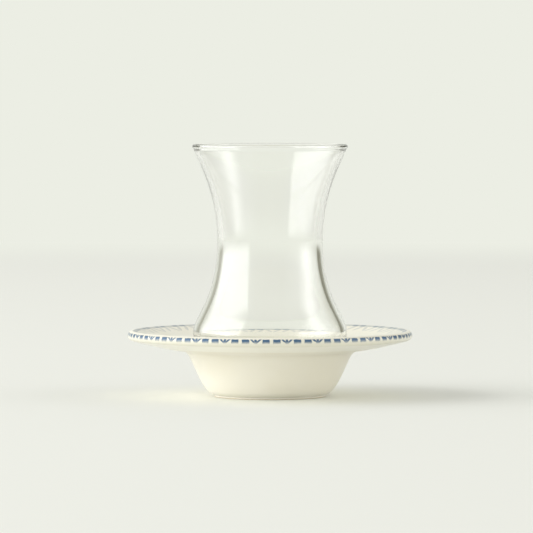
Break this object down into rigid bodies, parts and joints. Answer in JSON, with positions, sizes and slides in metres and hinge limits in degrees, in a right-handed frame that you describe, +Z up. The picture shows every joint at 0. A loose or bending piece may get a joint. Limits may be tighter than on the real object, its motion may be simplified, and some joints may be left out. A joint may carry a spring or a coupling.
{
  "type": "turkish tea glass",
  "caption": "Tulip-shaped clear tea glass with a flared mouth and narrow waist, standing empty in the deep well of a cream glazed saucer with a blue dashed border.",
  "frame": {"origin": "centre of the saucer's foot, at the height of the table", "axes": "+Z up along the common axis of the glass and the saucer; turned shapes, so any side may face +X"},
  "size_m": [0.118, 0.118, 0.1047],
  "materials": {
    "cream_glaze": "glossy cream glaze, painted slate-blue dashes and sprigs round the rim",
    "clear_glass": "clear soda-lime glass, fire-polished rim"
  },
  "bodies": {
    "root": {"saucer": "cream_glaze", "tea_glass": "clear_glass"}
  },
  "joints": []
}
